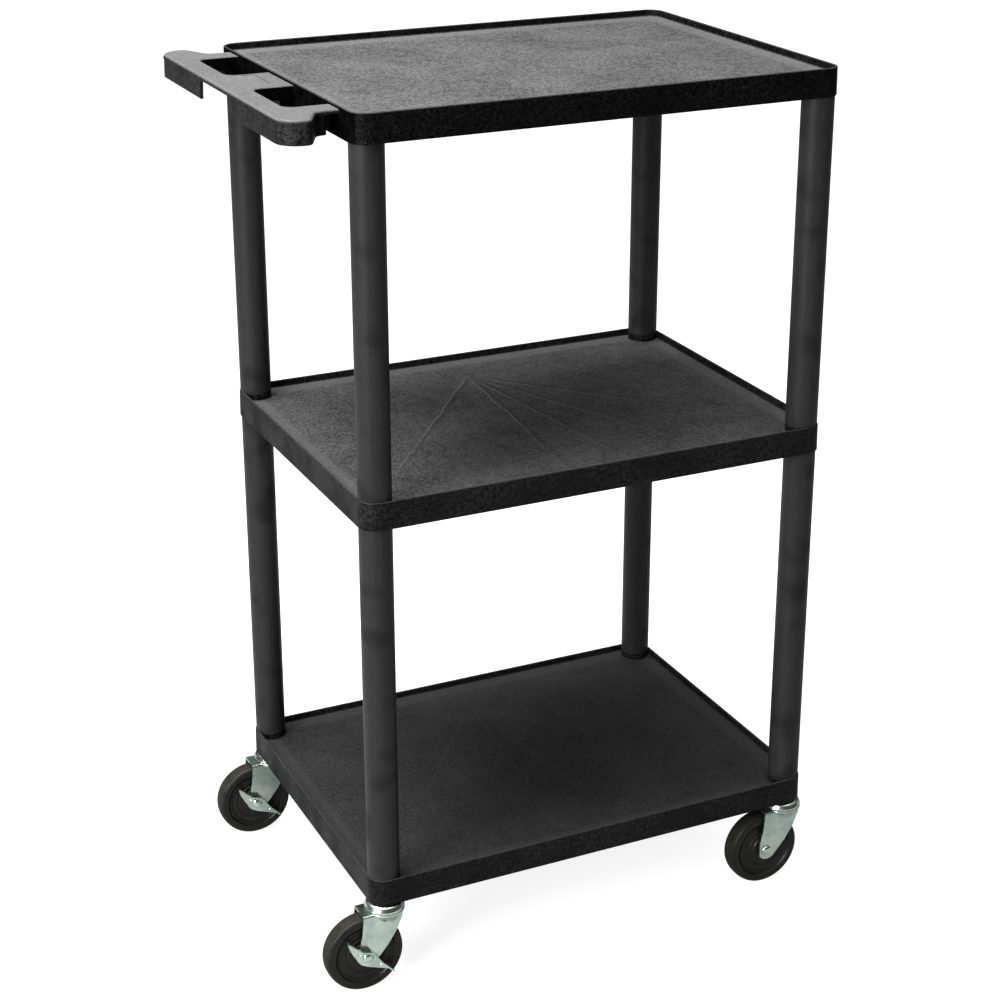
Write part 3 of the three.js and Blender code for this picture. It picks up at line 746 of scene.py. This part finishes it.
def add_shelves():
    bosses = at_stems(lambda: post(BOSS_RADIUS, 0, SHELF_HEIGHT, 0.8))
    holes = at_stems(lambda: post(SOCKET_HOLE_RADIUS, -1, SHELF_HEIGHT - SEAT_DEPTH + 1))
    add_shelf("bottom_shelf", cut(join(tray_shell(), *ribs(), *bosses), *seats_above(), *holes))

    bosses = at_stems(lambda: post(BOSS_RADIUS, 0, SHELF_HEIGHT, 0.8))
    add_shelf("middle_shelf", cut(join(tray_shell(), *ribs(), *bosses), *seats_above(), *seats_below()))

    bosses = at_stems(lambda: post(BOSS_RADIUS, 0, TRAY_TOP - 1))
    add_shelf("top_shelf", cut(join(tray_shell(), *ribs(), *bosses, handle()), *seats_below()))


# ---------------------------------------------------------------- push handle


def handle_loop(inset, z, root, root_radius=0):
    """The handle's plan: a bar with round outer corners, and a narrower neck as far as root."""
    half_outline = [
        (root, NECK_HALF_LENGTH, root_radius),
        (HANDLE_OUTER + BAR_WIDTH, NECK_HALF_LENGTH, STEP_INNER_RADIUS),
        (HANDLE_OUTER + BAR_END_WIDTH, HANDLE_HALF_LENGTH, STEP_OUTER_RADIUS),
        (HANDLE_OUTER, HANDLE_HALF_LENGTH, HANDLE_CORNER_RADIUS),
    ]
    other_half = [(x, -y, radius) for x, y, radius in reversed(half_outline)]
    return at_height(rounded(drawn_in(half_outline + other_half, inset)), z)


def hand_hole_loop(side, outset, z):
    """One hand hole, which runs in under the shelf's end wall."""
    near, far = HAND_HOLE_NEAR - outset, HAND_HOLE_FAR + outset
    low, high = (near, far) if side > 0 else (-far, -near)
    radius = HAND_HOLE_RADIUS + outset
    left, right = SHELF_END_X - HAND_HOLE_REACH - outset, SHELF_END_X + SKIRT_WALL / 2 + 1
    return at_height(rounded([(left, low, radius), (right, low, 0), (right, high, 0), (left, high, radius)]), z)


def hand_hole(side):
    """The hole's cutter, which flares out at the top to round the hole's edge."""
    edge = HAND_HOLE_EDGE
    flare = arc((edge, HANDLE_TOP - edge), edge, 180, 100, 5)
    profile = [(0, HANDLE_BOTTOM - 2)] + [(p.x, p.y) for p in flare] + [(edge, HANDLE_TOP + 2)]
    return mesh_object("hole", [hand_hole_loop(side, outset, z) for outset, z in profile])


def label_recess():
    """A shallow blank recess on the arm between the hand holes."""
    path = rounded(rectangle(HANDLE_OUTER + 43, -22, HANDLE_OUTER + 58, 35, 1.5))
    return upright("recess", path, HANDLE_TOP - 0.5, HANDLE_TOP + 2)


def handle():
    """A plate that runs into the shelf's end wall, over a skirt that stops short of it."""
    plate_root = SHELF_END_X + SKIRT_WALL / 2
    skirt_root = SHELF_END_X - SKIRT_ROOT_GAP
    plate_bottom = HANDLE_TOP - HANDLE_PLATE
    plate_path = rounded([
        (10, HANDLE_TOP, 0), (0, HANDLE_TOP, PLATE_EDGE_RADIUS), (0, plate_bottom, 0.6), (5, plate_bottom, 0),
    ], closed=False)
    outside = rounded([
        (0.7, HANDLE_TOP - 2, 0), (0.2, HANDLE_BOTTOM, 1), (HANDLE_WALL, HANDLE_BOTTOM, 0),
    ], closed=False)
    inside = rounded([
        (HANDLE_WALL + 0.6, HANDLE_TOP - 1, 0), (HANDLE_WALL - 0.4, HANDLE_BOTTOM, 0.6),
        (HANDLE_WALL - 1, HANDLE_BOTTOM - 1, 0),
    ], closed=False)
    plate = mesh_object("plate", [handle_loop(inset, z, plate_root) for inset, z in plate_path])
    skirt, hollow = (
        mesh_object("skirt", [handle_loop(inset, z, skirt_root, SKIRT_ROOT_RADIUS) for inset, z in path])
        for path in (outside, inside)
    )
    notch_path = rounded([
        (-NOTCH_HALF_LENGTH, HANDLE_BOTTOM - 2, 0), (NOTCH_HALF_LENGTH, HANDLE_BOTTOM - 2, 0),
        (NOTCH_HALF_LENGTH, HANDLE_TOP - 1, 0), (-NOTCH_HALF_LENGTH, HANDLE_TOP - 1, 0),
    ])
    notch = extruded("notch", notch_path, lambda p, end: Vector((HANDLE_OUTER - 2 + 9 * end, p.x, p.y)))
    collars = [
        mesh_object("collar", [hand_hole_loop(side, HAND_HOLE_WALL, z) for z in (HAND_HOLE_BOTTOM, plate_bottom + 1)])
        for side in (-1, 1)
    ]
    made = join(cut(skirt, hollow, notch), plate, *collars)
    return cut(made, hand_hole(-1), hand_hole(1), label_recess())


# ---------------------------------------------------------------- legs


def add_leg(node):
    """A tube with a softened rim and a narrower spigot at each end."""
    low, high = box_mm(node)
    centre = (low + high) / 2
    radius = (high.x - low.x) / 2
    spigot, bore, reach = SEAT_RADIUS - GAP, 12.7, 15
    half = (high.z - low.z) / 2
    shoulder = half - reach
    profile = rounded([
        (bore, -half, 0.4), (spigot, -half, 0.8), (spigot, -shoulder, 0.3), (radius, -shoulder, 0.7),
        (radius, shoulder, 0.7), (spigot, shoulder, 0.3), (spigot, half, 0.8), (bore, half, 0.4),
    ])
    made = lathe(node, profile, ring=True)
    moved(made, centre)
    finish_piece(made, f"{node}_tube", "cart", LEG_LOOK, "leg_plastic", node)


# ---------------------------------------------------------------- caster heads


def stem_place(corner):
    """The stem's axis, at the height of the bottom shelf's lower edge."""
    centre = middle_mm(f"stem_{corner}")
    return Vector((centre.x, centre.y, SHELF_LOW.z))


def axle_place(corner):
    return stem_place(corner) + Vector((-TRAIL, 0, -AXLE_DROP))


def add_socket(corner):
    bore = STEM_RADIUS + GAP
    made = lathe("socket", rounded([
        (0, 41, 0), (10.7, 41, 1.2), (10.7, -GAP, 0), (14, -GAP, 0.4), (14, -1.5, 0.4),
        (bore, -1.5, 0.3), (bore, 38.3, 0), (0, 38.3, 0),
    ], closed=False), steps=SMALL_LATHE_STEPS)
    moved(made, stem_place(corner))
    finish_piece(made, f"stem_socket_{corner}_bush", "cart", NYLON_LOOK, "nylon", f"stem_socket_{corner}")


def add_stem(corner):
    """The stem, with a grip groove near its top and a domed rivet head under the crown."""
    under = CROWN_TOP - SHEET - GAP
    made = lathe("stem", rounded([
        (0, 38, 0), (STEM_RADIUS - 1.4, 38, 0.8), (STEM_RADIUS, 35, 1), (STEM_RADIUS, 32, 0.3),
        (STEM_RADIUS - 0.9, 31, 0.3), (STEM_RADIUS - 0.9, 28, 0.3), (STEM_RADIUS, 27, 0.3),
        (STEM_RADIUS, under, 0), (9, under, 0.6), (8, under - 3, 1.6), (0, under - 3, 0),
    ], closed=False), steps=SMALL_LATHE_STEPS)
    moved(made, stem_place(corner))
    finish_piece(made, f"stem_{corner}_pin", "cart", STEEL_LOOK, "steel", f"stem_{corner}")


def add_cup(corner):
    """The pressed cup that covers the upper race."""
    top, rim, bore = -1.8, CROWN_TOP + 0.5, STEM_RADIUS + GAP
    made = lathe("cup", rounded([
        (bore, top, 0.4), (18.5, top, 3), (22.4, top - 2.2, 3), (CROWN_RADIUS, top - 7, 2), (CROWN_RADIUS, rim, 0.5),
        (CROWN_RADIUS - 2.2, rim, 0.5), (CROWN_RADIUS - 2.2, top - 6.6, 1.5), (20.2, top - 3.2, 1.5),
        (bore, top - 2.4, 0.4),
    ]), ring=True)
    moved(made, stem_place(corner))
    finish_piece(made, f"raceway_cup_{corner}_pressing", "cart", ZINC_LOOK, "zinc", f"raceway_cup_{corner}")


def add_balls(corner):
    """The ring of balls, which just touch one another."""
    radius, ring_radius, height, count = 3.1, 15, -8.1, 14
    meridian = [(radius * math.cos(a), radius * math.sin(a))
                for a in (math.radians(-90 + 15 * k) for k in range(13))]
    bm = bmesh.new()
    for k in range(count):
        angle = math.tau * k / count
        ball = lathe("ball", [(max(r, 0), z) for r, z in meridian], steps=18)
        moved(ball, (ring_radius * math.cos(angle), ring_radius * math.sin(angle), height))
        bm.from_mesh(ball.data)
        bpy.data.objects.remove(ball)
    mesh = bpy.data.meshes.new("balls")
    bm.to_mesh(mesh)
    bm.free()
    made = bpy.data.objects.new("balls", mesh)
    bpy.context.scene.collection.objects.link(made)
    moved(made, stem_place(corner))
    finish_piece(made, f"ball_ring_{corner}_balls", f"swivel_{corner}", STEEL_LOOK, "steel", f"ball_ring_{corner}")


# ---------------------------------------------------------------- forks


def channel_section(half, z_low):
    """The fork's bent sheet across the wheel: a flat top folded down on both sides."""
    inner, under = half - SHEET, CROWN_TOP - SHEET
    return rounded([
        (-half, z_low, 0), (-half, CROWN_TOP, FOLD_RADIUS), (half, CROWN_TOP, FOLD_RADIUS), (half, z_low, 0),
        (inner, z_low, 0), (inner, under, FOLD_RADIUS - 2), (-inner, under, FOLD_RADIUS - 2), (-inner, z_low, 0),
    ])


def fork_side():
    """A fork leg from the side: square at the trailing end and round about the axle."""
    tip = (-TRAIL + 1.5, -AXLE_DROP)
    before = rounded([(-33.5, CROWN_TOP + 3, 0), (-33.5, CROWN_TOP - 3, 0), (-35.6, -38, 30), (-41.2, -63, 0)],
                     closed=False)
    after = rounded([(-18.3, -76.4, 0), (-2.5, -58.4, 9), (8.5, -42.5, 22), (18, -23, 9), (18, CROWN_TOP + 3, 0)],
                    closed=False)
    return before + arc(tip, 13.2, 172, 318, 16) + after


def fork():
    sections = [(-40, 16), (-9, 16), (-7, 15.95), (8.5, 15.2), (14, 14.7), (19, 14)]
    channel = mesh_object("channel", [
        [Vector((x, p.x, p.y)) for p in channel_section(half, -90)] for x, half in sections])
    side = sideways("side", fork_side(), -30, 30)
    shape = combine(channel, [side], "INTERSECT")
    crown = lathe("crown", rounded([
        (0, CROWN_TOP, 0), (CROWN_RADIUS, CROWN_TOP, 0.9), (CROWN_RADIUS, -14.6, 1.5), (21, -19, 4),
        (17.6, -25, 6), (15.6, -33, 0), (0, -33, 0),
    ], closed=False))
    inner = FORK_HALF_WIDTH - SHEET
    hollow_path = rounded([
        (-inner, -80, 0), (-inner, CROWN_TOP - SHEET, 1), (inner, CROWN_TOP - SHEET, 1), (inner, -80, 0)])
    hollow = extruded("hollow", hollow_path, lambda p, end: Vector((-50 + (50 + NOSE_X) * end, p.x, p.y)))
    stem_hole = moved(post(STEM_RADIUS + GAP, -40, 0), (0, 0, 0))
    shape = join(shape, cut(crown, hollow))
    axle_hole = moved(lathe("hole", [(0, -30), (4.3, -30), (4.3, 30), (0, 30)], "Y", SMALL_LATHE_STEPS),
                      (-TRAIL, 0, -AXLE_DROP))
    return cut(shape, stem_hole, axle_hole)


def add_fork(corner):
    made = fork()
    moved(made, stem_place(corner))
    finish_piece(made, f"fork_{corner}_sheet", f"swivel_{corner}", ZINC_LOOK, "zinc", f"fork_{corner}")


# ---------------------------------------------------------------- axles and wheels


def add_bolt(corner):
    """A domed head that bears on the fork or the lever, and a threaded end."""
    seat_y = -(FORK_HALF_WIDTH + GAP + (LEVER_THICKNESS + GAP if corner in BRAKED else 0))
    dome = [(6.8 * math.sin(math.radians(a)), seat_y - 0.6 - 3 * math.cos(math.radians(a))) for a in range(0, 91, 10)]
    thread = []
    for k in range(9):
        at = 13.4 + k
        thread += [(4.0, at), (3.55, at + 0.5)]
    profile = dome + [(6.8, seat_y), (4, seat_y)] + thread + [(3.3, 22.5), (0, 22.5)]
    made = lathe("bolt", profile, "Y", SMALL_LATHE_STEPS)
    moved(made, axle_place(corner))
    finish_piece(made, f"axle_bolt_{corner}_bolt", f"swivel_{corner}", ZINC_LOOK, "zinc", f"axle_bolt_{corner}")


def add_nut(corner):
    """A hexagon nut with its corners turned off, and a threaded bore."""
    inside = FORK_HALF_WIDTH + GAP
    outside = inside + 4.6
    corners = [Vector((7.4 * math.cos(math.radians(60 * k)), 7.4 * math.sin(math.radians(60 * k)))) for k in range(6)]
    hexagon = sideways("nut", corners, inside, outside)
    turned_off = lathe("limit", [
        (0, inside - 1), (6.2, inside - 1), (6.2, inside), (7.6, inside + 0.7), (7.6, outside - 0.9),
        (6.2, outside), (6.2, outside + 1), (0, outside + 1)], "Y", SMALL_LATHE_STEPS)
    combine(hexagon, [turned_off], "INTERSECT")
    bore = lathe("bore", [
        (0, inside - 1), (4.9, inside - 1), (4.3, inside + 0.5), (4.3, outside - 0.5), (4.9, outside + 1),
        (0, outside + 1)], "Y", SMALL_LATHE_STEPS)
    made = cut(hexagon, bore)
    moved(made, axle_place(corner))
    finish_piece(made, f"axle_nut_{corner}_nut", f"swivel_{corner}", ZINC_LOOK, "zinc", f"axle_nut_{corner}")


def add_sleeve(corner):
    made = lathe("sleeve", rounded([(4.3, -13.1, 0.3), (6.6, -13.1, 0.5), (6.6, 13.1, 0.5), (4.3, 13.1, 0.3)]),
                 "Y", SMALL_LATHE_STEPS, ring=True)
    moved(made, axle_place(corner))
    finish_piece(made, f"axle_sleeve_{corner}_tube", f"swivel_{corner}", STEEL_LOOK, "steel",
                 f"axle_sleeve_{corner}")


def both_faces(profile):
    """A wheel's closed profile from one face's corners, given from the bore outwards."""
    other = [(radius, -half, turn) for radius, half, turn in profile]
    return rounded(other + profile[::-1])


def add_wheel_core(corner):
    """The hard core: a raised hub, a shallow web with a ring, and a rim under the tyre."""
    made = lathe("core", both_faces([
        (6.9, 11.4, 0.5), (16.5, 11.6, 0.8), (17.8, 10, 0.6), (22.6, 9.8, 0.6), (23.8, 8.6, 0.6),
        (25.2, 8.6, 0.6), (26.2, 9.3, 0.6), (33, 9, 1), (34.4, 10.2, 0.6), (36.2, 10.2, 0.4),
    ]), "Y", ring=True)
    moved(made, axle_place(corner))
    finish_piece(made, f"wheel_core_{corner}_hub", f"wheel_{corner}", CORE_LOOK, "wheel_core",
                 f"wheel_core_{corner}", sharp=50)


def face_radius(face, corner):
    """How far a face of a wheel is from its axle."""
    return math.hypot(*((face.center / MM - axle_place(corner)).xz))


def add_tyre(corner):
    """A hard tyre with a raised shoulder and a slightly crowned tread."""
    made = lathe("tyre", both_faces([
        (36.7, 9.2, 0.3), (37.6, 9.4, 0.4), (39.4, 11.6, 0.9), (45.8, 12, 2.5), (48.8, 10, 2.5),
        (49.8, 5.5, 4), (WHEEL_RADIUS, 0.4, 0),
    ]), "Y", steps=LATHE_STEPS * 2, ring=True)
    moved(made, axle_place(corner))
    finish_piece(made, f"tyre_{corner}_ring", f"wheel_{corner}", TYRE_LOOK, "tyre", f"tyre_{corner}", sharp=60)
    made.data.materials.append(TREAD_LOOK)
    for face in made.data.polygons:
        face.material_index = 1 if abs(face.normal.y) < 0.35 and face_radius(face, corner) > WHEEL_RADIUS - 2 else 0


# ---------------------------------------------------------------- brakes


def brake_lever():
    """A pressed blade with a dimple at each end and a flange along its upper edge."""
    face = -(FORK_HALF_WIDTH + GAP)
    blade_path = rounded([
        (-38, 4.2, 0.6), (-28, -2.2, 20), (-18, -6.6, 20), (-2, -11.8, 4), (8, -10, 16), (28, -3, 12),
        (40, 1, 0.4), (17, 4.2, 16), (4, 7.7, 6), (-3, 8.8, 3), (-12, 5.4, 6), (-16, 3.8, 6),
    ])
    edge = rounded([(40, 1.8, 0), (17, 5, 16), (4, 8.5, 6), (-3, 9.6, 3), (-12, 6.2, 6), (-16, 4.6, 6),
                    (-38, 6.2, 0)], closed=False)
    under = [Vector((p.x, p.y - 1.8)) for p in reversed(edge)]
    blade = sideways("blade", blade_path, face - LEVER_THICKNESS, face)
    flange = sideways("flange", edge + under, -CROWN_RADIUS, face)
    hole = lathe("hole", [(0, -40), (4.3, -40), (4.3, 0), (0, 0)], "Y", SMALL_LATHE_STEPS)
    dimples = [
        moved(lathe("dimple", [(0, 3), (1.2, 2.8), (2.2, 1.8), (2.6, 0), (2.2, -1.8), (1.2, -2.8), (0, -3)],
                    "Y", 24), (u, face - LEVER_THICKNESS - 2.1, v))
        for u, v in ((-13, -1.4), (20, 0))
    ]
    return cut(join(blade, flange), hole, *dimples)


def add_brake(corner):
    made = brake_lever()
    turned(made, LEVER_TILT, "Y")
    moved(made, axle_place(corner))
    finish_piece(made, f"brake_lever_{corner}_pressing", f"brake_{corner}", ZINC_LOOK, "zinc", f"brake_lever_{corner}")
    disc = lathe("disc", rounded([(7, -13.1, 0.2), (13, -13.1, 0.3), (13, -11.9, 0.3), (7, -11.9, 0.2)]),
                 "Y", ring=True)
    moved(disc, axle_place(corner))
    finish_piece(disc, f"brake_disc_{corner}_plate", f"swivel_{corner}", STEEL_LOOK, "steel", f"brake_disc_{corner}")


# ---------------------------------------------------------------- putting it together

add_shelves()
for level in ("lower", "upper"):
    for corner in CORNERS:
        add_leg(f"leg_{level}_{corner}")
for corner in CORNERS:
    add_socket(corner)
    add_stem(corner)
    add_cup(corner)
    add_balls(corner)
    add_fork(corner)
    add_bolt(corner)
    add_nut(corner)
    add_sleeve(corner)
    add_wheel_core(corner)
    add_tyre(corner)
for corner in BRAKED:
    add_brake(corner)

# ---------------------------------------------------------------- camera, floor and light

SKY_LOW = 0.07
SKY_HIGH = 1.3
FLOOR_GLOW = 0.87
FLOOR_GLOW_UNSEEN = 0.06

scene = bpy.context.scene
scene.view_settings.view_transform = "Standard"


def add_camera():
    lens = bpy.data.cameras.new("camera")
    lens.lens = 77.09
    lens.shift_x = -0.01
    lens.shift_y = -0.05
    camera = bpy.data.objects.new("camera", lens)
    camera.location = (-1.0695, -2.2886, 1.5600)
    camera.rotation_euler = (math.radians(90 - 21.035), math.radians(-0.04), math.radians(-25.438))
    scene.collection.objects.link(camera)
    scene.camera = camera


def add_floor():
    """A light table: a pale floor that glows, so that shadows on it stay faint, but that
    throws little of its glow on the object."""
    half = 8000
    bm = bmesh.new()
    bm.faces.new([bm.verts.new(Vector((x * half, y * half, 0)) * MM) for x, y in ((-1, -1), (1, -1), (1, 1), (-1, 1))])
    mesh = bpy.data.meshes.new("floor")
    bm.to_mesh(mesh)
    bm.free()
    floor = bpy.data.objects.new("floor", mesh)
    scene.collection.objects.link(floor)
    look = Look("pale_floor", Emission_Color=(1, 1, 1, 1))
    seen = look.nodes.new("ShaderNodeLightPath").outputs["Is Camera Ray"]
    look.join(look.spread(seen, 0, 1, FLOOR_GLOW_UNSEEN, FLOOR_GLOW), look.shader.inputs["Emission Strength"])
    tone = look.spread(look.noise(900, 2, 0.5), 0.3, 0.7, 0, 1)
    mesh.materials.append(look.finish(look.blend(tone, (0.25, 0.25, 0.25), (0.28, 0.28, 0.28)), 0.8,
                                      look.bump(look.noise(4, 2, 0.5), 0.05, 0.2)))


def add_softbox(name, place, target, width, height, power):
    """A rectangular studio light, with places in metres and its power in watts."""
    light = bpy.data.lights.new(name, "AREA")
    light.shape = "RECTANGLE"
    light.size = width
    light.size_y = height
    light.energy = power
    lamp = bpy.data.objects.new(name, light)
    lamp.location = place
    lamp.rotation_euler = (Vector(target) - Vector(place)).to_track_quat("-Z", "Y").to_euler()
    scene.collection.objects.link(lamp)


def add_sky():
    """A white studio: bright overhead and dimmer low down, and plain white behind the object."""
    world = bpy.data.worlds.new("studio")
    scene.world = world
    world.use_nodes = True
    nodes, links = world.node_tree.nodes, world.node_tree.links
    background = nodes["Background"]
    background.inputs["Color"].default_value = (1, 1, 1, 1)
    heading = nodes.new("ShaderNodeSeparateXYZ")
    links.new(nodes.new("ShaderNodeTexCoord").outputs["Generated"], heading.inputs[0])
    glow = nodes.new("ShaderNodeMapRange")
    for key, number in (("From Min", 0.5), ("From Max", 1.0), ("To Min", SKY_LOW), ("To Max", SKY_HIGH)):
        glow.inputs[key].default_value = number
    links.new(heading.outputs["Z"], glow.inputs["Value"])
    choice = nodes.new("ShaderNodeMix")
    links.new(nodes.new("ShaderNodeLightPath").outputs["Is Camera Ray"], choice.inputs["Factor"])
    links.new(glow.outputs["Result"], choice.inputs["A"])
    choice.inputs["B"].default_value = 1.2
    links.new(choice.outputs["Result"], background.inputs["Strength"])


def add_sun():
    """Even light from overhead, spread so widely that its shadows are soft."""
    light = bpy.data.lights.new("overall", "SUN")
    light.energy = 1.2
    light.angle = math.radians(50)
    lamp = bpy.data.objects.new("overall", light)
    scene.collection.objects.link(lamp)


add_camera()
add_floor()
add_sky()
add_sun()
add_softbox("overhead", (-1.05, 0.1, 3.1), (-1.05, 0.1, 0), 1.6, 1.6, 210)
add_softbox("left", (-3.2, -1.8, 1.9), (0, 0, 0.7), 1.4, 2.2, 235)
